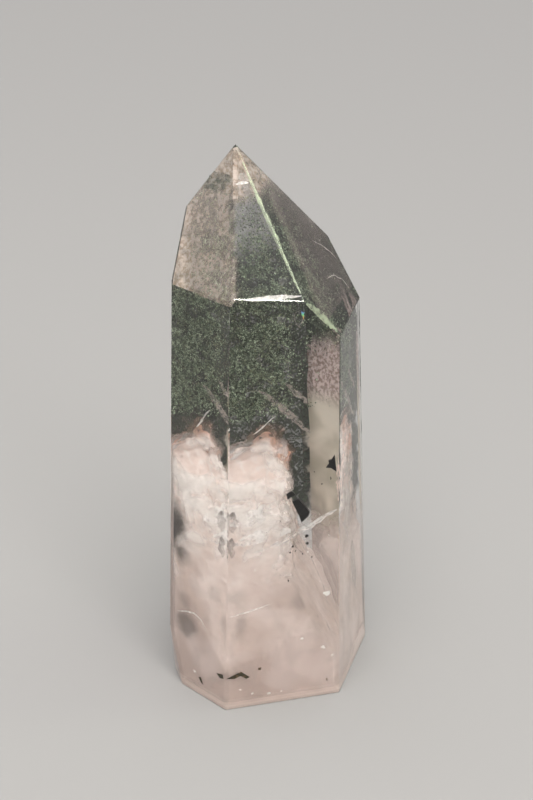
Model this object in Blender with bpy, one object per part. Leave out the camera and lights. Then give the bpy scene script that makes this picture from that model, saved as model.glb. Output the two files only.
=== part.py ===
"""A polished quartz point: one clear crystal with six sides, six roof facets and a flat ground base.

Metres, +Z up. Every facet is given the way a lapidary grinds it: the compass direction that it
faces, its lean, and how far it lies from the crystal's own axis.
"""
import math

import bmesh
import bpy
from mathutils import Vector

MM = 0.001  # one millimetre in metres

# Driving dimensions
HEIGHT = 92.0 * MM
APEX_X = -4.6 * MM
APEX_Y = 6.9 * MM
ROUGH_WIDTH = 60.0 * MM
EDGE_FLAT = 0.22 * MM
SNAP = 0.01 * MM

# Prism sides: direction in degrees, lean outward towards the base, distance from the axis
SIDES = {
    "left_front": (223.5, 2.2, 13.6 * MM),
    "broad_front": (284.5, 1.4, 10.0 * MM),
    "narrow_right": (344.0, 0.5, 13.0 * MM),
    "right_back": (43.5, 3.3, 18.5 * MM),
    "broad_back": (104.0, 3.5, 20.5 * MM),
    "left_back": (161.5, 0.9, 15.0 * MM),
}

# Roof facets, all ground through the apex: direction and steepness in degrees
ROOF = {
    "roof_left_front": (221.5, 58.0),
    "roof_broad_front": (292.0, 50.0),
    "roof_narrow_right": (341.0, 54.5),
    "roof_right_back": (43.0, 53.5),
    "roof_broad_back": (104.5, 52.0),
    "roof_left_back": (164.0, 54.5),
}

# The small facet ground on the left lower corner leans inward towards the base
CORNER = (194.0, -6.8, 15.0 * MM)


def clear_scene():
    for old in list(bpy.data.objects):
        bpy.data.objects.remove(old, do_unlink=True)


def facing(direction, lean):
    """The unit normal of a facet that faces a compass direction and looks up by lean degrees."""
    turn = math.radians(direction)
    rise = math.radians(lean)
    return Vector((math.cos(turn) * math.cos(rise), math.sin(turn) * math.cos(rise), math.sin(rise)))


def grind(bm, point, normal):
    """Cuts away all that lies outside one flat facet and closes the cut with a single face."""
    geometry = bm.verts[:] + bm.edges[:] + bm.faces[:]
    cut = bmesh.ops.bisect_plane(
        bm, geom=geometry, dist=SNAP, plane_co=point, plane_no=normal, clear_outer=True
    )
    rim = [item for item in cut["geom_cut"] if isinstance(item, bmesh.types.BMEdge)]
    open_rim = [edge for edge in rim if edge.is_boundary]
    if open_rim:
        bmesh.ops.edgeloop_fill(bm, edges=open_rim)


def rough_block():
    """A sawn block that stands on its base and is taller than the finished point."""
    bm = bmesh.new()
    bmesh.ops.create_cube(bm, size=1.0)
    block_height = HEIGHT * 1.2
    for vert in bm.verts:
        vert.co.x *= ROUGH_WIDTH
        vert.co.y *= ROUGH_WIDTH
        vert.co.z = (vert.co.z + 0.5) * block_height
    return bm


def ground_point():
    bm = rough_block()
    for direction, lean, distance in SIDES.values():
        normal = facing(direction, lean)
        grind(bm, normal * distance, normal)
    apex = Vector((APEX_X, APEX_Y, HEIGHT))
    for direction, steepness in ROOF.values():
        grind(bm, apex, facing(direction, 90.0 - steepness))
    direction, lean, distance = CORNER
    normal = facing(direction, lean)
    grind(bm, normal * distance, normal)
    bmesh.ops.recalc_face_normals(bm, faces=bm.faces[:])
    return bm


def soften_edges(bm):
    """Takes the sharpness off every edge above the base with one narrow flat, as polishing does."""
    bm.normal_update()
    cuts = []
    for edge in bm.edges:
        first, second = (face.normal.copy() for face in edge.link_faces)
        if min(first.z, second.z) < -0.9:
            continue
        normal = (first + second).normalized()
        depth = EDGE_FLAT / 2.0 * math.tan(first.angle(second) / 2.0)
        cuts.append((edge.verts[0].co - normal * depth, normal))
    for point, normal in cuts:
        grind(bm, point, normal)


def stand_on_origin(bm):
    """Moves the crystal so that the middle of its outline stands over the origin."""
    xs = [vert.co.x for vert in bm.verts]
    ys = [vert.co.y for vert in bm.verts]
    middle = Vector(((min(xs) + max(xs)) / 2.0, (min(ys) + max(ys)) / 2.0, 0.0))
    bmesh.ops.translate(bm, verts=bm.verts[:], vec=-middle)


def clear_quartz():
    material = bpy.data.materials.new("clear_quartz")
    material.use_nodes = True
    shader = material.node_tree.nodes["Principled BSDF"]
    shader.inputs["Base Color"].default_value = (0.96, 0.95, 0.94, 1.0)
    shader.inputs["Roughness"].default_value = 0.02
    shader.inputs["IOR"].default_value = 1.544
    shader.inputs["Transmission Weight"].default_value = 1.0
    return material


def build():
    clear_scene()
    collection = bpy.data.collections.new("ice_quartz_generator")
    bpy.context.scene.collection.children.link(collection)
    bm = ground_point()
    soften_edges(bm)
    stand_on_origin(bm)
    mesh = bpy.data.meshes.new("quartz_point")
    bm.to_mesh(mesh)
    bm.free()
    mesh.materials.append(clear_quartz())
    point = bpy.data.objects.new("quartz_point", mesh)
    collection.objects.link(point)
    return point


build()
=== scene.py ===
"""A polished quartz point with milky and mossy inclusions, on a plain pale floor."""
import math
import random

import bmesh
import bpy
import numpy as np
from mathutils import Matrix, Vector, noise


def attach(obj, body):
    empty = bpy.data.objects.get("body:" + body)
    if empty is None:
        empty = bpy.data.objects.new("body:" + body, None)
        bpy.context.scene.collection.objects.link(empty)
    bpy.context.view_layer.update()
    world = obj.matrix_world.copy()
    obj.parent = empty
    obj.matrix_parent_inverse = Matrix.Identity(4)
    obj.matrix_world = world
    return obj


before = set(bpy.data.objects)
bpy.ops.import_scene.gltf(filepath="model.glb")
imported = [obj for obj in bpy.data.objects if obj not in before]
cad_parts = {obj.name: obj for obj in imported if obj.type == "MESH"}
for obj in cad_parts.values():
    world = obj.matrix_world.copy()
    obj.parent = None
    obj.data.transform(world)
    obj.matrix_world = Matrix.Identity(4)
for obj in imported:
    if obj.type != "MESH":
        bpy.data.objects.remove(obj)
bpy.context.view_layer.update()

MM = 0.001

# Camera: it looks down on the point from a little under half a metre away
CAMERA_PITCH = 29.0
CAMERA_ROLL = -0.43
CAMERA_DISTANCE = 450 * MM
CAMERA_TARGET = Vector((-0.15, -2.95, 49.8)) * MM
CAMERA_LENS = 127.5

# Studio: the sky is as bright at the horizon as the floor that meets it there
HORIZON_LIGHT = 0.34
OVERHEAD_LIGHT = 1.3
OVERHEAD_FROM = 0.35
FLOOR_GREY = 0.27
FLOOR_REACH = 12.0

# Soft boxes: direction, distance and size in metres, power in watts, colour, and spread in degrees
LIGHT_AIM = Vector((0.0, 0.0, 55.0)) * MM
SOFT_BOXES = {
    "key_light": ((0.03, -0.47, 0.88), 0.9, (0.65, 0.65), 9.8, (1.0, 0.94, 0.88), 180.0),
    "shoulder_light": ((0.54, -0.82, 0.19), 0.6, (0.20, 0.10), 0.02, (1.0, 0.97, 0.92), 20.0),
    "edge_light": ((0.86, 0.08, 0.51), 0.7, (0.30, 0.30), 0.03, (0.88, 1.0, 0.75), 30.0),
}

# Milky cloud, in millimetres: a dome near the back, which drops off to the right
CLOUD_TOP = 43.0
CLOUD_MIDDLE = -3.5
CLOUD_ROUNDNESS = 0.08
CLOUD_EDGE = (-0.5, 2.5)
CLOUD_STEP = 17.0
CLOUD_BOX = ((-18.0, -18.0, -1.0), (18.0, 18.0, 53.0))

# Front of the cloud: where y is at the base, and how fast it recedes with height
CLOUD_FRONT = -25.0
CLOUD_RECESSION = 0.74

# Clear margins in millimetres between the cloud and the sides, and between it and the base
SIDE_MARGIN = 0.35
BASE_MARGIN = 0.02

# Skins of the cloud: the density where each lies, its least and further cover, and its voxels across
CLOUD_SKINS = {
    "milk_haze": (0.0, 0.05, 0.20, 72),
    "milk_veil": (1.3, 0.15, 0.45, 72),
    "milk_core": (2.8, 1.0, 0.0, 100),
}

# Lowest milky layer: heights in millimetres, and its size at each as a share of the crystal's base
MILK_BASE = ((0.03, 0.994), (0.5, 0.988), (2.2, 0.88))

# Directions in degrees that the crystal's sides face
LEFT_FRONT = 223.5
BROAD_FRONT = 284.5
NARROW_RIGHT = 344.0
RIGHT_BACK = 43.5
BROAD_BACK = 104.0

# Directions and rises above level, in degrees, that the three front facets of the roof face
ROOF_FRONTS = ((221.5, 32.0), (292.0, 40.0), (341.0, 35.5))

# A face of the crystal with at least this area, in square millimetres, is a side, not a ground flat
SIDE_AREA = 20.0

# Windows in the milk, thinner and painted near-black as painted shade: middle and half size in
# millimetres, and strength
WINDOWS = (
    ((-13.2, -3.0, 28.0), (3.0, 8.0, 6.3), 0.97),
    ((-13.2, -9.0, 11.6), (2.4, 2.6, 2.3), 0.60),
    ((-13.2, -8.8, 16.2), (1.6, 1.8, 1.4), 0.25),
    ((-6.4, -9.0, 17.8), (2.0, 5.0, 1.6), 0.22),
    ((-5.2, -12.0, 13.8), (1.2, 4.0, 2.2), 0.28),
    ((4.7, -10.5, 16.8), (2.0, 4.0, 1.5), 0.28),
    ((-2.6, -1.5, 30.8), (1.5, 4.0, 1.6), 0.40),
)

# Sheets of quads just inside a side: quad size in millimetres, and columns of corners
SHEET_STEP = 0.9
SHEET_COLUMNS = 33

# Mossy zone, in millimetres: depth, unevenness, lower and upper end of its sheet
DUST_INSET = 1.3
DUST_SWELL = 0.9
DUST_LOW = 22
DUST_HIGH = 84

# Grains: how many, their sizes in millimetres, and the rectangle or box where they are strewn
MOSS_GRAINS = 15000
MOSS_SIZES = (0.08, 0.22)
MOSS_PATCH = ((-15, 42), (15, 84))
LOOSE_GRAINS = 7000
LOOSE_SIZES = (0.06, 0.16)
LOOSE_BOX = ((-16, -16, 40), (16, 17, 88))
GRAIN_MARGIN = 0.5

# Depths of what shows in front of the milk low down, and thicknesses of flat grains, in millimetres
GRAIN_DEPTH = 0.12
CRACK_DEPTH = 0.22
PLATE_THICKNESS = 0.15
FLAKE_THICKNESS = 0.12

# Veils: colour, least and further cover, scale of their gaps, and roughness
VEIL_LOOKS = {
    # Silver: the film of real healed cracks, and of painted glints under the roof
    "silver_veil_and_glint": ((0.98, 0.96, 0.93, 1.0), 0.65, 0.35, 2.0, 0.35),
    "pale_veil": ((0.92, 0.86, 0.82, 1.0), 0.35, 0.45, 1.2, 0.35),
    "smoky_veil": ((0.42, 0.37, 0.33, 1.0), 0.30, 0.45, 1.4, 0.35),
    # Pale green painted highlight along the roof's edge and at its corner
    "painted_green_highlight": ((0.60, 0.70, 0.48, 1.0), 0.35, 0.40, 0.6, 0.35),
    "white_veil": ((1.0, 0.98, 0.96, 1.0), 0.10, 0.55, 0.25, 0.9),
    "dark_veil": ((0.10, 0.09, 0.08, 1.0), 0.15, 0.65, 0.7, 0.8),
    # Painted shade for the windows in the milk along the left front edge
    "painted_shade_patch": ((0.12, 0.10, 0.09, 1.0), 0.25, 0.55, 0.35, 0.8),
    "moss_veil": ((0.05, 0.07, 0.04, 1.0), 0.30, 0.50, 1.2, 0.8),
    "pink_veil": ((0.95, 0.76, 0.70, 1.0), 0.25, 0.65, 0.5, 0.35),
}
VEIL_SEED = 5


# Camera, light and floor

def add_object(name, mesh):
    shape = bpy.data.objects.new(name, mesh)
    bpy.context.scene.collection.objects.link(shape)
    return shape


def add_camera():
    pitch = math.radians(CAMERA_PITCH)
    roll = math.radians(CAMERA_ROLL)
    forward = Vector((0.0, math.cos(pitch), -math.sin(pitch)))
    level = Vector((1.0, 0.0, 0.0))
    upward = level.cross(forward)
    right = level * math.cos(roll) + upward * math.sin(roll)
    above = right.cross(forward)
    data = bpy.data.cameras.new("camera")
    data.lens = CAMERA_LENS
    data.clip_start = 0.01
    data.clip_end = 4 * FLOOR_REACH
    camera = add_object("camera", data)
    turn = Matrix((right, above, -forward)).transposed().to_4x4()
    camera.matrix_world = Matrix.Translation(CAMERA_TARGET - forward * CAMERA_DISTANCE) @ turn
    bpy.context.scene.camera = camera


def add_soft_box(name, towards, reach, size, power, colour, spread):
    """A rectangular light that stands off in a direction and faces the crystal's middle."""
    data = bpy.data.lights.new(name, "AREA")
    data.shape = "RECTANGLE"
    data.size = size[0]
    data.size_y = size[1]
    data.energy = power
    data.color = colour
    data.spread = math.radians(spread)
    light = add_object(name, data)
    light.location = LIGHT_AIM + Vector(towards).normalized() * reach
    light.rotation_euler = (LIGHT_AIM - light.location).to_track_quat("-Z", "Y").to_euler()
    light.visible_camera = False


def add_sky():
    world = bpy.data.worlds.new("studio")
    world.use_nodes = True
    tree = world.node_tree
    direction = tree.nodes.new("ShaderNodeTexCoord").outputs["Generated"]
    height = smooth_step(tree, parts_of(tree, direction)["Z"], 0.0, OVERHEAD_FROM)
    rise = math_node(tree, "MULTIPLY", height, OVERHEAD_LIGHT - HORIZON_LIGHT)
    background = tree.nodes["Background"]
    background.inputs["Color"].default_value = (1.0, 0.98, 0.96, 1.0)
    tree.links.new(math_node(tree, "ADD", rise, HORIZON_LIGHT), background.inputs["Strength"])
    bpy.context.scene.world = world


def add_studio():
    add_sky()
    for name, look in SOFT_BOXES.items():
        add_soft_box(name, *look)

    mesh = bpy.data.meshes.new("floor")
    bm = bmesh.new()
    bmesh.ops.create_grid(bm, x_segments=1, y_segments=1, size=FLOOR_REACH)
    bm.to_mesh(mesh)
    bm.free()
    floor = add_object("floor", mesh)
    material, shader = new_material("pale_floor")
    shader.inputs["Base Color"].default_value = (FLOOR_GREY, FLOOR_GREY, FLOOR_GREY, 1.0)
    shader.inputs["Roughness"].default_value = 0.9
    shader.inputs["Specular IOR Level"].default_value = 0.0
    mesh.materials.append(material)


# Material helpers

def new_material(name):
    material = bpy.data.materials.new(name)
    material.use_nodes = True
    return material, material.node_tree.nodes["Principled BSDF"]


def feed(tree, node, socket, value):
    """Links a socket to another node's output, or sets it where value is a plain one."""
    if isinstance(value, bpy.types.NodeSocket):
        tree.links.new(value, node.inputs[socket])
    elif value is not None:
        node.inputs[socket].default_value = value


def math_node(tree, operation, first, second=None, clamp=False):
    node = tree.nodes.new("ShaderNodeMath")
    node.operation = operation
    node.use_clamp = clamp
    feed(tree, node, 0, first)
    feed(tree, node, 1, second)
    return node.outputs[0]


def vector_node(tree, operation, first, second, output="Vector"):
    node = tree.nodes.new("ShaderNodeVectorMath")
    node.operation = operation
    feed(tree, node, 0, first)
    feed(tree, node, 1, second)
    return node.outputs[output]


def noise_node(tree, vector, scale, detail=3.0, roughness=0.5, distortion=0.0):
    node = tree.nodes.new("ShaderNodeTexNoise")
    feed(tree, node, "Vector", vector)
    node.inputs["Scale"].default_value = scale
    node.inputs["Detail"].default_value = detail
    node.inputs["Roughness"].default_value = roughness
    node.inputs["Distortion"].default_value = distortion
    return node.outputs["Fac"]


def smooth_step(tree, value, start, end):
    node = tree.nodes.new("ShaderNodeMapRange")
    node.interpolation_type = "SMOOTHSTEP"
    feed(tree, node, "Value", value)
    node.inputs["From Min"].default_value = start
    node.inputs["From Max"].default_value = end
    return node.outputs[0]


def mix_colour(tree, factor, first, second):
    node = tree.nodes.new("ShaderNodeMix")
    node.data_type = "RGBA"
    feed(tree, node, 0, factor)
    feed(tree, node, 6, first)
    feed(tree, node, 7, second)
    return node.outputs[2]


def object_millimetres(tree):
    """The place on the object in millimetres."""
    place = tree.nodes.new("ShaderNodeTexCoord").outputs["Object"]
    return vector_node(tree, "MULTIPLY", place, (1 / MM, 1 / MM, 1 / MM))


def parts_of(tree, place):
    """The X, Y and Z of a place."""
    split = tree.nodes.new("ShaderNodeSeparateXYZ")
    tree.links.new(place, split.inputs[0])
    return split.outputs


# Clear quartz

def quartz_material():
    material, shader = new_material("clear_quartz_polished")
    shader.inputs["Base Color"].default_value = (0.985, 0.985, 0.98, 1.0)
    shader.inputs["Roughness"].default_value = 0.0
    shader.inputs["IOR"].default_value = 1.544
    shader.inputs["Transmission Weight"].default_value = 1.0
    return material


def facets_of(crystal):
    """The crystal's broad flat sides as unit normals and distances, in millimetres."""
    facets = {}
    for face in crystal.data.polygons:
        normal = (crystal.matrix_world.to_3x3() @ face.normal).normalized()
        distance = normal.dot(crystal.matrix_world @ face.center) / MM
        key = tuple(round(value, 2) for value in normal)
        area = face.area / MM ** 2 + facets.get(key, (0.0,))[0]
        facets[key] = (area, normal, distance)
    return [(normal, distance) for area, normal, distance in facets.values() if area > SIDE_AREA]


def side_facing(facets, direction, rise=0.0):
    """The side of the crystal that faces a direction and a rise above level, in degrees."""
    angle = math.radians(direction)
    tilt = math.radians(rise)
    aim = Vector((math.cos(angle) * math.cos(tilt), math.sin(angle) * math.cos(tilt), math.sin(tilt)))
    return max(facets, key=lambda facet: facet[0].dot(aim))


def inside(side, across, z, depth):
    """The point at a depth behind a side; across is x, or y on a side that faces mostly along x."""
    normal, distance = side
    rest = distance - depth - normal.z * z
    if abs(normal.y) > 0.5:
        return Vector((across, (rest - normal.x * across) / normal.y, z))
    return Vector(((rest - normal.y * across) / normal.x, across, z))


# Milky cloud: nested skins of one lumpy density field

def below_cloud_top(tree, place, x, z):
    """How far a place is below the cloud's top, and what its lumps add; they are smaller low down."""
    ragged = math_node(tree, "SUBTRACT", noise_node(tree, place, 0.30, 3.0, 0.55), 0.5)
    ragged = math_node(tree, "ADD", x, math_node(tree, "MULTIPLY", ragged, 9.0))
    drop = math_node(tree, "MULTIPLY", smooth_step(tree, ragged, *CLOUD_EDGE), CLOUD_STEP)
    off_middle = math_node(tree, "SUBTRACT", x, CLOUD_MIDDLE)
    squared = math_node(tree, "MULTIPLY", off_middle, off_middle)
    dome = math_node(tree, "MULTIPLY", squared, CLOUD_ROUNDNESS)
    top = math_node(tree, "SUBTRACT", math_node(tree, "SUBTRACT", CLOUD_TOP, drop), dome)
    growth = math_node(tree, "MULTIPLY", smooth_step(tree, z, 15.0, 30.0), 3.5)
    size = math_node(tree, "ADD", growth, 4.0)
    swirl = math_node(tree, "SUBTRACT", noise_node(tree, place, 0.17, 4.0, 0.5), 0.5)
    return math_node(tree, "SUBTRACT", top, z), math_node(tree, "MULTIPLY", swirl, size)


def cloud_field(tree, facets):
    place = tree.nodes.new("GeometryNodeInputPosition").outputs[0]
    x, y, z = parts_of(tree, place)
    below, lumps = below_cloud_top(tree, place, x, z)
    # Low down it fills the crystal, higher up it keeps to the back
    front = math_node(tree, "ADD", math_node(tree, "MULTIPLY", z, CLOUD_RECESSION), CLOUD_FRONT)
    body = math_node(tree, "MINIMUM", below, math_node(tree, "SUBTRACT", y, front))
    density = math_node(tree, "ADD", math_node(tree, "MULTIPLY", body, 0.7), lumps)
    for normal, distance in facets:
        margin = BASE_MARGIN if normal.z < -0.9 else SIDE_MARGIN
        along = vector_node(tree, "DOT_PRODUCT", place, normal, "Value")
        depth = math_node(tree, "SUBTRACT", distance - margin, along)
        density = math_node(tree, "MINIMUM", density, math_node(tree, "MULTIPLY", depth, 4.0))
    return density


def cloud_skin(name, facets, material, threshold, voxels):
    """One closed skin where the cloud's density passes a threshold."""
    tree = bpy.data.node_groups.new(name, "GeometryNodeTree")
    tree.interface.new_socket("Geometry", in_out="OUTPUT", socket_type="NodeSocketGeometry")
    cube = tree.nodes.new("GeometryNodeVolumeCube")
    density = math_node(tree, "SUBTRACT", cloud_field(tree, facets), threshold)
    tree.links.new(math_node(tree, "MAXIMUM", density, -1.0), cube.inputs["Density"])
    cube.inputs["Background"].default_value = -1.0
    cube.inputs["Min"].default_value = CLOUD_BOX[0]
    cube.inputs["Max"].default_value = CLOUD_BOX[1]
    cube.inputs["Resolution X"].default_value = voxels
    cube.inputs["Resolution Y"].default_value = voxels
    cube.inputs["Resolution Z"].default_value = int(voxels * 1.5)
    skin = tree.nodes.new("GeometryNodeVolumeToMesh")
    tree.links.new(cube.outputs[0], skin.inputs["Volume"])
    skin.inputs["Threshold"].default_value = 0.0
    smooth = tree.nodes.new("GeometryNodeSetShadeSmooth")
    tree.links.new(skin.outputs[0], smooth.inputs[0])
    out = tree.nodes.new("NodeGroupOutput")
    tree.links.new(smooth.outputs[0], out.inputs[0])

    shell = add_object(name, bpy.data.meshes.new(name))
    modifier = shell.modifiers.new("skin", "NODES")
    modifier.node_group = tree
    graph = bpy.context.evaluated_depsgraph_get()
    mesh = bpy.data.meshes.new_from_object(shell.evaluated_get(graph))
    shell.modifiers.remove(modifier)
    mesh.transform(Matrix.Scale(MM, 4))
    shell.data = mesh
    mesh.materials.clear()
    mesh.materials.append(material)
    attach(shell, "root")


def window_factor(tree, place, swirl, middle, reach, strength):
    """How much painted shade a window puts on a place: most in its middle, nought outside its uneven rim.
    """
    off = vector_node(tree, "DIVIDE", vector_node(tree, "SUBTRACT", place, middle), reach)
    away = vector_node(tree, "LENGTH", off, None, "Value")
    rim = math_node(tree, "ADD", away, math_node(tree, "MULTIPLY", swirl, 1.6))
    return math_node(tree, "MULTIPLY", smooth_step(tree, rim, 2.05, 1.15), strength)


def milk_material(name, alpha, spread):
    """Milky quartz: white above, smooth beige below, salmon along its top, with windows painted
    near-black as painted shade.
    """
    material, shader = new_material(name)
    tree = material.node_tree
    place = object_millimetres(tree)
    x, y, z = parts_of(tree, place)
    broad = noise_node(tree, place, 0.10, 2.0, 0.5, 0.4)
    wisps = noise_node(tree, place, 0.20, 3.0, 0.5, 0.7)
    beige = mix_colour(
        tree, smooth_step(tree, broad, 0.38, 0.62), (0.70, 0.58, 0.53, 1.0), (0.83, 0.72, 0.68, 1.0)
    )
    foot = math_node(tree, "MULTIPLY", smooth_step(tree, z, 1.8, 0.4), 0.6)
    beige = mix_colour(tree, foot, beige, (0.64, 0.55, 0.50, 1.0))
    fine = math_node(tree, "SUBTRACT", noise_node(tree, place, 0.8, 4.0, 0.65), 0.5)
    mottled = math_node(tree, "ADD", wisps, math_node(tree, "MULTIPLY", fine, 0.6))
    white = mix_colour(
        tree, smooth_step(tree, mottled, 0.36, 0.58), (0.92, 0.79, 0.74, 1.0), (1.0, 0.95, 0.92, 1.0)
    )
    wavy = math_node(tree, "MULTIPLY", math_node(tree, "SUBTRACT", wisps, 0.5), 16.0)
    upper = smooth_step(tree, math_node(tree, "ADD", z, wavy), 19.0, 32.0)
    colour = mix_colour(tree, upper, beige, white)
    below, lumps = below_cloud_top(tree, place, x, z)
    rim = math_node(tree, "ADD", math_node(tree, "MULTIPLY", below, 0.7), lumps)
    rim = math_node(tree, "ADD", rim, math_node(tree, "MULTIPLY", wisps, 1.5))
    stain = smooth_step(tree, rim, 3.4, 2.2)
    stain = math_node(tree, "MULTIPLY", stain, smooth_step(tree, z, 33.0, 36.0))
    stain = math_node(tree, "MULTIPLY", stain, smooth_step(tree, y, 5.0, 9.0))
    stain = math_node(tree, "MULTIPLY", stain, 0.9)
    colour = mix_colour(tree, stain, colour, (0.95, 0.54, 0.38, 1.0))
    window_shade = 0.0
    for middle, reach, strength in WINDOWS:
        factor = window_factor(tree, place, wisps, middle, reach, strength)
        window_shade = math_node(tree, "MAXIMUM", window_shade, factor)
        # Painted shade: each window paints the milk near-black, as dark as a backdrop seen through a gap
        # in it
        colour = mix_colour(tree, factor, colour, (0.11, 0.10, 0.09, 1.0))
    tree.links.new(colour, shader.inputs["Base Color"])
    shader.inputs["Roughness"].default_value = 0.7
    shader.inputs["Specular IOR Level"].default_value = 0.1
    if alpha < 1.0:
        share = math_node(tree, "ADD", math_node(tree, "MULTIPLY", upper, 0.8), 0.2)
        patches = math_node(tree, "MULTIPLY", smooth_step(tree, wisps, 0.42, 0.62), spread)
        cover = math_node(tree, "ADD", math_node(tree, "MULTIPLY", patches, share), alpha, clamp=True)
        thinner = math_node(tree, "SUBTRACT", 1.0, math_node(tree, "MULTIPLY", window_shade, 0.8))
        tree.links.new(math_node(tree, "MULTIPLY", cover, thinner), shader.inputs["Alpha"])
    return material


def add_milk_base(crystal, material):
    """The lowest milky layer, which fills the crystal right down to its ground base."""
    low = [crystal.matrix_world @ vert.co for vert in crystal.data.vertices]
    low = [point for point in low if point.z < 0.05 * MM]
    bm = bmesh.new()
    for point in low:
        for height, share in MILK_BASE:
            bm.verts.new((point.x * share, point.y * share, height * MM))
    bmesh.ops.convex_hull(bm, input=bm.verts[:])
    mesh = bpy.data.meshes.new("milk_base")
    bm.to_mesh(mesh)
    bm.free()
    mesh.materials.append(material)
    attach(add_object("milk_base", mesh), "root")


def add_cloud(facets):
    """Makes the skins from the outermost in, and returns the innermost one's material."""
    for name, (threshold, alpha, spread, voxels) in CLOUD_SKINS.items():
        material = milk_material(name, alpha, spread)
        cloud_skin(name, facets, material, threshold, voxels)
    return material


# Sheets that lie along old growth faces, just inside one side

def sheet_point(side, inset, swell, across, up):
    """A point of an uneven sheet behind a side, in millimetres."""
    normal, distance = side
    level = Vector((0.0, 0.0, 1.0)).cross(normal).normalized()
    point = normal * (distance - inset) + level * across + normal.cross(level) * up
    return point - normal * (swell * (1.0 + noise.noise(point * 0.22)))


def inner_sheet(name, facets, side, inset, swell, low, high, material, margin=0.4):
    """A sheet a little inside one side, from low to high up it, cut off short of the other sides."""
    bm = bmesh.new()
    rows = []
    for step in range(round((high - low) / SHEET_STEP) + 1):
        row = []
        for column in range(SHEET_COLUMNS):
            across = (column - SHEET_COLUMNS // 2) * SHEET_STEP
            point = sheet_point(side, inset, swell, across, low + step * SHEET_STEP)
            row.append(bm.verts.new(point * MM))
        rows.append(row)
    for first, second in zip(rows, rows[1:]):
        for column in range(SHEET_COLUMNS - 1):
            bm.faces.new((first[column], first[column + 1], second[column + 1], second[column]))
    for normal, distance in facets:
        bmesh.ops.bisect_plane(
            bm, geom=bm.verts[:] + bm.edges[:] + bm.faces[:], dist=1e-6,
            plane_co=normal * (distance - margin) * MM, plane_no=normal, clear_outer=True
        )
    mesh = bpy.data.meshes.new(name)
    bm.to_mesh(mesh)
    bm.free()
    mesh.materials.append(material)
    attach(add_object(name, mesh), "root")


def dust_material():
    """Fine dark green dust, which thins out upwards and to the right, and ends at the cloud."""
    material, shader = new_material("chlorite_dust")
    tree = material.node_tree
    place = object_millimetres(tree)
    x, _, z = parts_of(tree, place)
    fine = noise_node(tree, place, 2.4, 3.0, 0.6)
    patches = smooth_step(tree, noise_node(tree, place, 0.30, 3.0, 0.6), 0.34, 0.52)
    beside_cloud = math_node(tree, "MULTIPLY", smooth_step(tree, x, 0.3, 1.5), 13.0)
    fade = smooth_step(tree, math_node(tree, "ADD", z, beside_cloud), 37.5, 40.5)
    ragged = math_node(tree, "MULTIPLY", noise_node(tree, place, 0.35, 3.0, 0.6), 9.0)
    high = smooth_step(tree, math_node(tree, "ADD", z, ragged), 76.5, 69.5)
    high = math_node(tree, "ADD", math_node(tree, "MULTIPLY", high, 0.42), 0.58)
    fade = math_node(tree, "MULTIPLY", fade, high)
    fade = math_node(tree, "MULTIPLY", fade, smooth_step(tree, z, 84.0, 79.0))
    left = smooth_step(tree, math_node(tree, "ADD", x, ragged), 10.0, 8.2)
    fade = math_node(tree, "MULTIPLY", fade, left)
    specks = math_node(tree, "MULTIPLY", smooth_step(tree, fine, 0.36, 0.56), 0.25)
    cover = math_node(tree, "ADD", specks, 0.62)
    cover = math_node(tree, "ADD", cover, math_node(tree, "MULTIPLY", patches, 0.2), clamp=True)
    tree.links.new(math_node(tree, "MULTIPLY", cover, fade), shader.inputs["Alpha"])
    colour = mix_colour(
        tree, smooth_step(tree, fine, 0.50, 0.66), (0.020, 0.026, 0.018, 1.0), (0.05, 0.07, 0.042, 1.0)
    )
    tree.links.new(colour, shader.inputs["Base Color"])
    shader.inputs["Roughness"].default_value = 0.8
    return material


def side_wisp_material():
    """A thin beige milky film, grainy and pink near its top."""
    material, shader = new_material("milk_wisp")
    tree = material.node_tree
    place = object_millimetres(tree)
    z = parts_of(tree, place)["Z"]
    swirl = noise_node(tree, place, 0.16, 2.0, 0.5, 0.3)
    grain = noise_node(tree, place, 1.6, 3.0, 0.6)
    low = mix_colour(
        tree, smooth_step(tree, swirl, 0.30, 0.70), (0.50, 0.46, 0.37, 1.0), (0.82, 0.76, 0.66, 1.0)
    )
    pink = mix_colour(
        tree, smooth_step(tree, grain, 0.42, 0.58), (0.36, 0.25, 0.22, 1.0), (0.90, 0.74, 0.72, 1.0)
    )
    high = smooth_step(tree, z, 46.0, 50.0)
    tree.links.new(mix_colour(tree, high, low, pink), shader.inputs["Base Color"])
    shader.inputs["Roughness"].default_value = 0.7
    ragged = math_node(tree, "ADD", z, math_node(tree, "MULTIPLY", swirl, 9.0))
    solid = math_node(tree, "SUBTRACT", 0.92, math_node(tree, "MULTIPLY", high, 0.25))
    cover = math_node(tree, "MULTIPLY", smooth_step(tree, ragged, 63.5, 58.5), solid)
    cover = math_node(tree, "MULTIPLY", cover, smooth_step(tree, ragged, 24.0, 36.0))
    tree.links.new(cover, shader.inputs["Alpha"])
    return material


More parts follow.
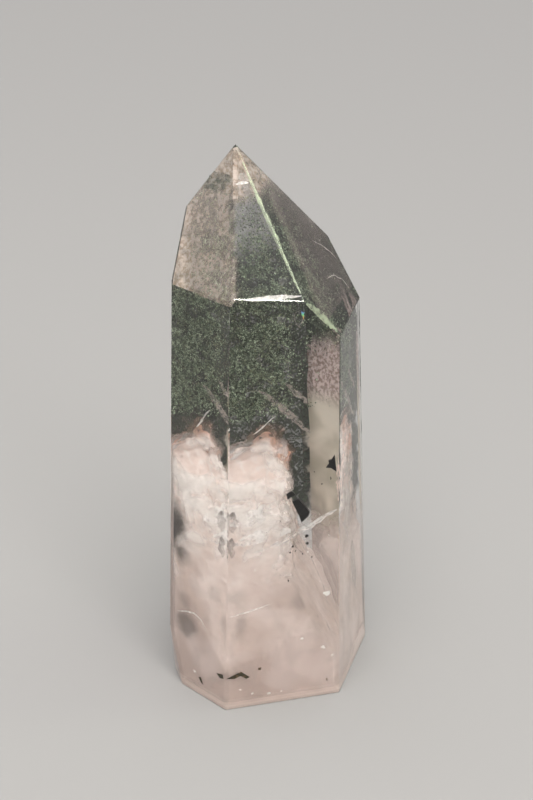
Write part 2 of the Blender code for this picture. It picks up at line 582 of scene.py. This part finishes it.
def roof_veil_material():
    """A faint veil under the roof: cream at its left and tip, smoky at its right, clear between."""
    material, shader = new_material("roof_veil")
    tree = material.node_tree
    place = object_millimetres(tree)
    x, _, z = parts_of(tree, place)
    swirl = noise_node(tree, place, 0.35, 3.0, 0.55, 0.5)
    grain = noise_node(tree, place, 1.4, 3.0, 0.6)
    colour = mix_colour(
        tree, smooth_step(tree, grain, 0.40, 0.60), (0.55, 0.42, 0.32, 1.0), (0.93, 0.80, 0.72, 1.0)
    )
    # The edge between the two right front facets leans: x grows by 0.52 for each millimetre down
    beyond_edge = math_node(tree, "ADD", x, math_node(tree, "MULTIPLY", z, 0.52))
    smoky = math_node(
        tree, "MULTIPLY", smooth_step(tree, beyond_edge, 43.4, 44.6), smooth_step(tree, z, 86.0, 82.0)
    )
    colour = mix_colour(tree, smoky, colour, (0.15, 0.12, 0.11, 1.0))
    tree.links.new(colour, shader.inputs["Base Color"])
    shader.inputs["Roughness"].default_value = 0.7
    across = math_node(tree, "ADD", x, math_node(tree, "MULTIPLY", swirl, 4.0))
    left = math_node(tree, "MULTIPLY", smooth_step(tree, across, -2.2, -3.6), 0.38)
    strip_left = math_node(tree, "MULTIPLY", smooth_step(tree, across, -8.5, -11.0), 0.40)
    tip = math_node(tree, "MULTIPLY", smooth_step(tree, z, 84.0, 86.0), 0.55)
    cover = math_node(tree, "MAXIMUM", math_node(tree, "ADD", left, strip_left), tip)
    cover = math_node(tree, "MAXIMUM", cover, math_node(tree, "MULTIPLY", smoky, 0.55))
    thin = math_node(tree, "MULTIPLY", smooth_step(tree, swirl, 0.3, 0.6), 0.5)
    thin = math_node(tree, "ADD", thin, 0.5)
    tree.links.new(math_node(tree, "MULTIPLY", cover, thin, clamp=True), shader.inputs["Alpha"])
    return material


def add_roof_veils(facets):
    material = roof_veil_material()
    for index, (direction, rise) in enumerate(ROOF_FRONTS):
        side = side_facing(facets, direction, rise)
        inner_sheet(f"roof_veil_{index + 1}", facets, side, 0.5, 0.1, 48, 86, material, 0.3)


# Mossy chlorite: many small grains on and around the dust

def inside_depth(facets, points):
    """How far inside the crystal each point lies, in millimetres."""
    depth = np.full(len(points), 1e9)
    for normal, distance in facets:
        depth = np.minimum(depth, distance - points @ np.array(normal))
    return depth


def grain_mesh(name, centres, sizes, seed):
    """Joined eight-sided grains, one at each centre, turned every way."""
    rng = np.random.RandomState(seed)
    count = len(centres)
    corners = np.array([(1, 0, 0), (-1, 0, 0), (0, 1, 0), (0, -1, 0), (0, 0, 0.55), (0, 0, -0.55)])
    faces = np.array([
        (0, 2, 4), (2, 1, 4), (1, 3, 4), (3, 0, 4),
        (2, 0, 5), (1, 2, 5), (3, 1, 5), (0, 3, 5),
    ])
    axes = rng.normal(size=(count, 4))
    axes /= np.linalg.norm(axes, axis=1)[:, None]
    w, a, b, c = axes.T
    turns = np.empty((count, 3, 3))
    turns[:, 0] = np.stack([1 - 2 * (b * b + c * c), 2 * (a * b - c * w), 2 * (a * c + b * w)], 1)
    turns[:, 1] = np.stack([2 * (a * b + c * w), 1 - 2 * (a * a + c * c), 2 * (b * c - a * w)], 1)
    turns[:, 2] = np.stack([2 * (a * c - b * w), 2 * (b * c + a * w), 1 - 2 * (a * a + b * b)], 1)
    stretch = rng.uniform(0.6, 1.3, size=(count, 1, 3))
    shaped = corners[None] * stretch * sizes[:, None, None]
    points = np.einsum("nij,nkj->nki", turns, shaped) + centres[:, None]
    all_faces = faces[None] + (np.arange(count) * len(corners))[:, None, None]
    mesh = bpy.data.meshes.new(name)
    mesh.from_pydata((points.reshape(-1, 3) * MM).tolist(), [], all_faces.reshape(-1, 3).tolist())
    shape = add_object(name, mesh)
    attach(shape, "root")
    return shape


def clumping(points, scale, gain, offset):
    """A chance from 0 to 1 for each point, which makes grains keep together in clumps."""
    values = np.array([noise.noise(Vector(point) * scale) for point in points])
    return np.clip(values * gain + offset, 0.0, 1.0)


def dusted_places(facets, side, count, seed):
    """Places on the dust sheet, in lacy clumps that thin out upwards and to the right."""
    rng = np.random.RandomState(seed)
    found = []
    total = 0
    while total < count:
        flat = rng.uniform(*MOSS_PATCH, size=(20000, 2))
        points = np.array([sheet_point(side, DUST_INSET, DUST_SWELL, across, up) for across, up in flat])
        points -= np.array(side[0]) * rng.uniform(0.0, 1.6, size=(len(points), 1)) ** 2
        x, _, z = points.T
        chance = np.clip((z - 44.0) / 1.5, 0, 1) * np.clip((74 - z) / 14, 0.04, 1)
        chance *= np.clip((2.2 - x) / 4.0, 0.05, 1)
        chance *= clumping(points, 0.5, 2.4, 0.45) * clumping(points, 1.5, 2.6, 0.6)
        keep = (inside_depth(facets, points) > GRAIN_MARGIN) & (rng.uniform(size=len(points)) < chance)
        found.append(points[keep])
        total += int(keep.sum())
    return np.concatenate(found)[:count]


def scattered_places(facets, count, seed):
    """Thin scatter through the upper half, a little thicker towards the back and the left."""
    rng = np.random.RandomState(seed)
    found = []
    total = 0
    while total < count:
        points = rng.uniform(*LOOSE_BOX, size=(30000, 3))
        x, y, z = points.T
        low = 44.0 + (12 - y) * 0.33
        chance = np.clip((z - low) / 3, 0, 1) * np.clip((y + 8) / 16, 0.05, 1)
        chance *= np.clip((5.0 - x) / 7.0, 0.08, 1) * clumping(points, 0.35, 2.6, 0.35)
        keep = (inside_depth(facets, points) > GRAIN_MARGIN) & (rng.uniform(size=len(points)) < chance)
        found.append(points[keep])
        total += int(keep.sum())
    return np.concatenate(found)[:count]


def chlorite_material(name, dark, light, share):
    material, shader = new_material(name)
    tree = material.node_tree
    place = object_millimetres(tree)
    cells = tree.nodes.new("ShaderNodeTexVoronoi")
    tree.links.new(place, cells.inputs["Vector"])
    cells.inputs["Scale"].default_value = 2.5
    split = tree.nodes.new("ShaderNodeSeparateColor")
    tree.links.new(cells.outputs["Color"], split.inputs[0])
    factor = smooth_step(tree, split.outputs[0], 1.0 - share - 0.15, 1.0 - share + 0.15)
    tree.links.new(mix_colour(tree, factor, dark, light), shader.inputs["Base Color"])
    shader.inputs["Roughness"].default_value = 0.5
    return material


def add_chlorite(facets):
    back = side_facing(facets, BROAD_BACK)
    dust = dust_material()
    inner_sheet("chlorite_dust", facets, back, DUST_INSET, DUST_SWELL, DUST_LOW, DUST_HIGH, dust)
    moss = chlorite_material("chlorite_moss", (0.05, 0.08, 0.04, 1.0), (0.46, 0.55, 0.39, 1.0), 0.34)
    loose = chlorite_material("chlorite_loose", (0.04, 0.06, 0.03, 1.0), (0.20, 0.22, 0.12, 1.0), 0.4)
    batches = (
        ("chlorite_moss", dusted_places(facets, back, MOSS_GRAINS, seed=11), MOSS_SIZES, moss),
        ("chlorite_loose", scattered_places(facets, LOOSE_GRAINS, seed=12), LOOSE_SIZES, loose),
    )
    for index, (name, places, sizes, material) in enumerate(batches):
        spread = np.random.RandomState(31 + index).uniform(*sizes, size=len(places))
        grain_mesh(name, places, spread, seed=51 + index).data.materials.append(material)


# Veils and healed cracks

def veil_material(name, colour, alpha, spread, scale, roughness):
    """A thin film that is broken up by clear gaps."""
    material, shader = new_material(name)
    tree = material.node_tree
    place = object_millimetres(tree)
    film = smooth_step(tree, noise_node(tree, place, scale, 4.0, 0.6), 0.42, 0.62)
    shader.inputs["Base Color"].default_value = colour
    shader.inputs["Roughness"].default_value = roughness
    opacity = math_node(tree, "ADD", math_node(tree, "MULTIPLY", film, spread), alpha, clamp=True)
    tree.links.new(opacity, shader.inputs["Alpha"])
    return material


def strip(name, middles, halves, material):
    """A strip of quads with a point each side of every middle, in millimetres."""
    bm = bmesh.new()
    rows = []
    for middle, half in zip(middles, halves):
        rows.append([bm.verts.new((middle + half * side) * MM) for side in (-1, 0, 1)])
    for first, second in zip(rows, rows[1:]):
        for side in (0, 1):
            bm.faces.new((first[side], first[side + 1], second[side + 1], second[side]))
    mesh = bpy.data.meshes.new(name)
    bm.to_mesh(mesh)
    bm.free()
    mesh.materials.append(material)
    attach(add_object(name, mesh), "root")


def along_path(path, share):
    """The point at a share of the way along a path."""
    along = share * (len(path) - 1)
    index = min(int(along), len(path) - 2)
    return path[index].lerp(path[index + 1], along - index)


def taper(share):
    """How wide a strip is at a share of its length: full in its middle, nearly nought at its ends."""
    return max(math.sin(math.pi * min(max(share, 0.02), 0.98)), 0.1) ** 0.6


def veil(name, path, width, lean, material, steps=24):
    """An uneven sheet that follows a path of points inside the crystal."""
    places = [Vector(point) for point in path]
    lean = Vector(lean).normalized()
    middles = []
    halves = []
    for step in range(steps + 1):
        middle = along_path(places, step / steps)
        uneven = 1.0 + 0.5 * noise.noise(middle * 1.7)
        middles.append(middle + noise.noise_vector(middle * 0.9) * 0.25)
        halves.append(lean * width * 0.5 * taper(step / steps) * uneven)
    strip(name, middles, halves, material)


def crack(name, side, path, width, depth, material, steps=32, wobble=0.12):
    """A line or band a little behind a side, along a path of points across it and up it."""
    places = [Vector((point[0], point[1], 0.0)) for point in path]
    middles = []
    halves = []
    for step in range(steps + 1):
        share = step / steps
        flat = along_path(places, share)
        ahead = along_path(places, min(share + 0.02, 1.0)) - along_path(places, max(share - 0.02, 0.0))
        flat += noise.noise_vector(flat * 1.3) * wobble
        square = Vector((-ahead.y, ahead.x, 0.0)).normalized()
        edge = flat + square * width * 0.5 * taper(share) * (1.0 + 0.6 * noise.noise(flat * 2.3))
        middle = inside(side, flat.x, flat.y, depth)
        middles.append(middle)
        halves.append(inside(side, edge.x, edge.y, depth) - middle)
    strip(name, middles, halves, material)


def add_inner_veils(looks):
    """Sheets well inside the crystal."""
    streak = ((-4.6, 7.6, 42.3), (-2.6, 8.8, 43.7), (-0.8, 10.0, 45.0))
    veil("bright_streak", streak, 0.8, (0.3, 0.9, 0.5), looks["silver_veil_and_glint"])
    oblique = ((-3.4, 6.6, 50.6), (0.6, 7.8, 46.4), (4.6, 8.8, 41.6))
    veil("long_veil", oblique, 1.2, (0.8, 0.2, 0.8), looks["smoky_veil"])
    veil("short_veil", ((0.6, 8.6, 51.0), (4.4, 9.6, 46.6)), 0.9, (0.8, 0.2, 0.7), looks["smoky_veil"])
    nearly_upright = (0.0, 0.35, 1.0)
    high = ((-7.2, -4.2, 30.2), (-3.0, -3.2, 31.2), (1.2, -2.4, 33.0))
    veil("white_streak", high, 3.0, nearly_upright, looks["white_veil"])
    low = ((-6.8, -6.0, 27.2), (-2.0, -5.2, 28.0), (2.6, -4.4, 28.6))
    veil("white_streak_low", low, 2.4, nearly_upright, looks["white_veil"])
    # The two patches below are painted shade: near-black sheets along the left front edge where the milk
    # has windows
    across_edge = (0.96, -0.28, 0.0)
    high = ((-6.0, -11.7, 35.2), (-6.2, -11.8, 33.9), (-6.1, -11.9, 31.6))
    veil("painted_shade_patch_high", high, 1.9, across_edge, looks["painted_shade_patch"])
    low = ((-6.2, -12.2, 30.8), (-6.4, -12.4, 29.0), (-6.2, -12.7, 27.2))
    veil("painted_shade_patch_low", low, 1.3, across_edge, looks["painted_shade_patch"])


def add_healed_lines(facets, looks):
    """Healed cracks behind the two front sides."""
    front = side_facing(facets, BROAD_FRONT)
    left = side_facing(facets, LEFT_FRONT)
    high = ((-2.3, 28.3), (0.9, 29.2), (3.3, 30.2), (4.9, 31.2), (6.6, 31.8), (8.7, 33.1), (10.8, 34.1))
    crack("healed_line_high", front, high, 0.24, 1.2, looks["pale_veil"], 48)
    crack("healed_band_high", front, high, 1.0, 1.6, looks["white_veil"], 48)
    low = ((-6.4, 17.5), (-4.6, 17.8), (-3.0, 18.1), (-1.4, 18.5), (0.2, 18.9))
    crack("healed_line_low", front, low, 0.26, CRACK_DEPTH, looks["silver_veil_and_glint"], 32, 0.06)
    arc = ((-14.9, 13.4), (-13.4, 14.3), (-12.0, 14.8), (-10.9, 14.3), (-10.1, 12.8))
    crack("healed_arc_left", left, arc, 0.28, CRACK_DEPTH, looks["silver_veil_and_glint"], 32, 0.06)


def add_roof_gleams(facets, looks):
    """Painted glints and highlights (along the shoulder, down the middle edge, under the tip and at the
    right corner), a mossy patch and hairlines behind the three front facets of the roof.
    """
    left, middle, right = [side_facing(facets, *front) for front in ROOF_FRONTS]
    shoulder = ((-3.4, 73.35), (0.8, 73.0), (5.2, 72.55))
    # Painted highlight: a bright silver band that widens the glint along the shoulder
    crack("shoulder_painted_glint", middle, shoulder, 0.55, 0.2, looks["silver_veil_and_glint"], 32, 0.04)
    edge = ((-3.6, 89.6), (0.8, 81.2), (5.1, 72.9))
    # Painted highlight: a pale green band along the edge between the two right roof facets
    crack("green_edge_painted_highlight", middle, edge, 0.6, 0.2, looks["painted_green_highlight"], 40, 0.08)
    below_tip = ((-9.4, 85.0), (-7.4, 86.3), (-5.2, 87.6))
    crack("moss_below_tip", left, below_tip, 1.8, 0.4, looks["moss_veil"])
    tip = ((-4.6, 87.1), (-3.6, 87.15), (-2.7, 87.0))
    # Painted reflection: a short bright line under the tip
    crack("tip_painted_glint", middle, tip, 0.35, 0.2, looks["silver_veil_and_glint"], 16, 0.03)
    corner = ((-11.6, 71.3), (-10.8, 69.4), (-10.3, 67.2), (-10.1, 65.4))
    # Painted highlight: a pale green glow at the right corner
    crack("corner_painted_glint", right, corner, 1.3, 0.3, looks["painted_green_highlight"], 32, 0.06)
    high = ((1.3, 75.6), (2.5, 74.3), (3.2, 72.7), (3.2, 71.6))
    crack("hairline_high", right, high, 0.14, 0.4, looks["pale_veil"])
    low = ((-2.7, 71.0), (-0.4, 70.5), (0.6, 69.3), (0.5, 67.8))
    crack("hairline_low", right, low, 0.14, 0.4, looks["pale_veil"])


def add_loop_and_streaks(facets, looks):
    """The thin loop under the roof's corner, and the streaks behind the narrow right side."""
    front = side_facing(facets, BROAD_FRONT)
    right = side_facing(facets, NARROW_RIGHT)
    loop = ((4.6, 70.2), (5.3, 69.4), (5.4, 68.4), (4.9, 67.2), (4.2, 68.0), (4.0, 69.2), (4.6, 70.2))
    crack("smoky_loop", front, loop, 0.16, 1.5, looks["smoky_veil"], 40, 0.05)
    pink = ((-6.1, 49.3), (-7.4, 45.0), (-8.6, 40.2), (-9.3, 35.1))
    crack("pink_streak", right, pink, 3.2, 1.0, looks["pink_veil"])
    high = ((-2.3, 40.5), (-2.6, 34.7), (-2.5, 28.5))
    crack("dark_streak_high", right, high, 2.8, 0.6, looks["dark_veil"])
    low = ((-3.8, 24.1), (-2.9, 18.0), (-1.5, 13.8))
    crack("dark_streak_low", right, low, 2.6, CRACK_DEPTH, looks["smoky_veil"])


def add_veils(facets):
    # noise_vector takes its offsets from the clock unless it is given a seed
    noise.seed_set(VEIL_SEED)
    looks = {name: veil_material(name, *look) for name, look in VEIL_LOOKS.items()}
    add_inner_veils(looks)
    add_healed_lines(facets, looks)
    add_roof_gleams(facets, looks)
    add_loop_and_streaks(facets, looks)


# Dark minerals, and bright flecks that are painted glints

def slab(name, side, outline, depth, thickness, material, narrowing=0.85):
    """A flat angular grain that lies along a side, with an outline of points across and up it."""
    middle = [sum(values) / len(outline) for values in zip(*outline)]
    bm = bmesh.new()
    rings = []
    for inset, scale in ((depth, 1.0), (depth + thickness, narrowing)):
        ring = []
        for point in outline:
            flat = [centre + (value - centre) * scale for value, centre in zip(point, middle)]
            ring.append(bm.verts.new(inside(side, flat[0], flat[1], inset) * MM))
        rings.append(ring)
        bm.faces.new(ring)
    for index in range(len(outline)):
        after = (index + 1) % len(outline)
        bm.faces.new((rings[0][index], rings[0][after], rings[1][after], rings[1][index]))
    bmesh.ops.recalc_face_normals(bm, faces=bm.faces[:])
    mesh = bpy.data.meshes.new(name)
    bm.to_mesh(mesh)
    bm.free()
    mesh.materials.append(material)
    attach(add_object(name, mesh), "root")


def ragged_outline(middle, size, tall, seed, corners=6):
    """A rough outline of corners round a middle, about a size across and tall times that high."""
    rng = random.Random(seed)
    outline = []
    for index in range(corners):
        angle = 2 * math.pi * (index + rng.uniform(-0.3, 0.3)) / corners
        reach = size * 0.5 * rng.uniform(0.3, 1.25)
        across = middle[0] + math.cos(angle) * reach
        outline.append((across, middle[1] + math.sin(angle) * reach * tall))
    return outline


def dark_mineral_material(name, dark, brown):
    material, shader = new_material(name)
    tree = material.node_tree
    place = object_millimetres(tree)
    patches = smooth_step(tree, noise_node(tree, place, 1.8, 3.0), 0.5, 0.7)
    tree.links.new(mix_colour(tree, patches, dark, brown), shader.inputs["Base Color"])
    shader.inputs["Roughness"].default_value = 0.5
    shader.inputs["Specular IOR Level"].default_value = 0.05
    return material


def add_minerals(facets):
    black = dark_mineral_material("black_mineral", (0.003, 0.003, 0.003, 1.0), (0.012, 0.010, 0.008, 1.0))
    olive = dark_mineral_material("olive_mineral", (0.045, 0.040, 0.018, 1.0), (0.15, 0.10, 0.05, 1.0))
    front = side_facing(facets, BROAD_FRONT)
    left = side_facing(facets, LEFT_FRONT)
    block = ((3.6, 36.7), (4.6, 37.0), (6.4, 34.3), (6.2, 33.6), (5.1, 32.6), (4.7, 33.9))
    slab("black_block", front, block, 1.6, 1.2, black)
    chip = ((2.7, 38.2), (3.5, 38.6), (4.2, 37.9), (3.4, 37.5), (2.9, 37.2))
    slab("black_block_chip", front, chip, 1.5, 0.5, black)
    wedge = ((9.0, 42.1), (9.5, 42.7), (9.4, 43.3), (9.8, 43.3), (10.4, 44.2), (10.7, 41.1), (9.8, 41.9))
    slab("black_wedge", front, wedge, 1.2, 0.8, black)
    # Places across and up, sizes and tallness
    specks = (
        (6.2, 40.2, 0.35, 1.0), (6.0, 30.2, 0.8, 0.8), (6.1, 28.9, 0.55, 1.3), (3.7, 28.6, 0.5, 1.4),
        (3.3, 27.6, 0.4, 0.8), (4.2, 27.8, 0.3, 1.6), (8.4, 39.3, 0.35, 0.8), (9.8, 40.1, 0.22, 4.5),
        (7.2, 41.7, 0.25, 1.4), (5.3, 27.0, 0.3, 1.5), (6.8, 26.2, 0.25, 1.6), (3.0, 22.4, 0.3, 1.8),
    )
    for index, (x, z, size, tall) in enumerate(specks):
        outline = ragged_outline((x, z), size, tall, seed=10 + index)
        slab(f"black_speck_{index + 1}", front, outline, 1.0, size * 0.5, black)
    roof = ((-7.1, 5.9), (-5.6, 6.5), (-4.6, 6.9), (-3.2, 5.6), (-3.8, 5.4), (-4.7, 6.1), (-5.7, 5.7))
    slab("olive_plate", front, roof, GRAIN_DEPTH, PLATE_THICKNESS, olive)
    tip = ((-8.6, 6.0), (-7.5, 6.4), (-7.4, 5.7), (-8.0, 5.4))
    slab("olive_plate_tip", left, tip, GRAIN_DEPTH, PLATE_THICKNESS, olive)
    sliver = ((-11.6, 3.2), (-11.2, 3.4), (-10.8, 2.2), (-11.2, 2.4))
    slab("brown_grain_left", left, sliver, GRAIN_DEPTH, PLATE_THICKNESS, olive)
    middle = ragged_outline((-1.6, 6.9), 0.8, 0.7, seed=41)
    slab("brown_grain_middle", front, middle, GRAIN_DEPTH, FLAKE_THICKNESS, olive)
    right = ragged_outline((9.4, 2.8), 0.5, 2.0, seed=42)
    slab("brown_grain_right", front, right, GRAIN_DEPTH, FLAKE_THICKNESS, olive)


def glint_fleck_material():
    # White flakes where internal fractures and chips flash: the fractures are real, their whiteness is a
    # painted glint
    material, shader = new_material("painted_glint_fleck")
    shader.inputs["Base Color"].default_value = (1.0, 0.98, 0.94, 1.0)
    shader.inputs["Roughness"].default_value = 0.25
    return material


def rainbow_material():
    """Painted reflection: fixed rainbow colours for the colours a thin film reflects, orange at its foot,
    green in its middle and blue at its top.
    """
    material, shader = new_material("rainbow_film")
    tree = material.node_tree
    z = parts_of(tree, object_millimetres(tree))["Z"]
    ramp = tree.nodes.new("ShaderNodeValToRGB")
    feed(tree, ramp, "Fac", smooth_step(tree, z, 68.6, 70.2))
    ramp.color_ramp.elements[0].color = (0.90, 0.40, 0.10, 1.0)
    ramp.color_ramp.elements[1].color = (0.20, 0.25, 0.90, 1.0)
    ramp.color_ramp.elements.new(0.5).color = (0.20, 0.80, 0.30, 1.0)
    tree.links.new(ramp.outputs["Color"], shader.inputs["Base Color"])
    shader.inputs["Roughness"].default_value = 0.3
    return material


def add_flecks(facets):
    bright = glint_fleck_material()
    front = side_facing(facets, BROAD_FRONT)
    left = side_facing(facets, LEFT_FRONT)
    # Sides, places across and up, sizes and tallness
    flecks = (
        (front, 9.3, 19.4, 1.3, 0.8), (front, 5.3, 11.5, 0.8, 0.6), (front, 8.8, 9.2, 1.0, 0.8),
        (front, -2.8, 2.4, 0.7, 0.7), (front, -0.2, 1.9, 0.8, 0.5), (left, -12.2, 3.8, 0.9, 0.6),
        (front, 1.9, 1.9, 0.5, 0.6), (front, -4.8, 3.4, 0.6, 0.7), (front, 10.2, 7.4, 0.5, 0.9),
        (front, 6.3, 27.6, 0.25, 1.5), (front, 8.2, 21.8, 0.3, 0.8), (front, -2.2, 25.6, 0.35, 0.8),
        (front, 3.0, 37.2, 0.25, 3.0), (front, 2.5, 35.3, 0.3, 1.5), (front, 9.6, 30.1, 0.2, 2.0),
    )
    for index, (side, x, z, size, tall) in enumerate(flecks):
        outline = ragged_outline((x, z), size, tall, seed=60 + index, corners=8)
        slab(f"painted_glint_fleck_{index + 1}", side, outline, GRAIN_DEPTH, FLAKE_THICKNESS, bright)

    # A thin film whose colours are a painted reflection
    film = ragged_outline((5.4, 69.4), 0.8, 1.7, seed=90, corners=9)
    slab("rainbow_film", front, film, 1.0, 0.05, rainbow_material())


# The whole scene

add_camera()
add_studio()
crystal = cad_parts["quartz_point"]
facets = facets_of(crystal)
crystal.material_slots[0].material = quartz_material()
add_milk_base(crystal, add_cloud(facets))
right_back = side_facing(facets, RIGHT_BACK)
inner_sheet("milk_wisp", facets, right_back, 0.8, 0.4, 16, 62, side_wisp_material())
add_roof_veils(facets)
add_chlorite(facets)
add_veils(facets)
add_minerals(facets)
add_flecks(facets)

scene = bpy.context.scene
scene.view_settings.view_transform = "Standard"
scene.cycles.max_bounces = 24
scene.cycles.transmission_bounces = 16
scene.cycles.transparent_max_bounces = 32
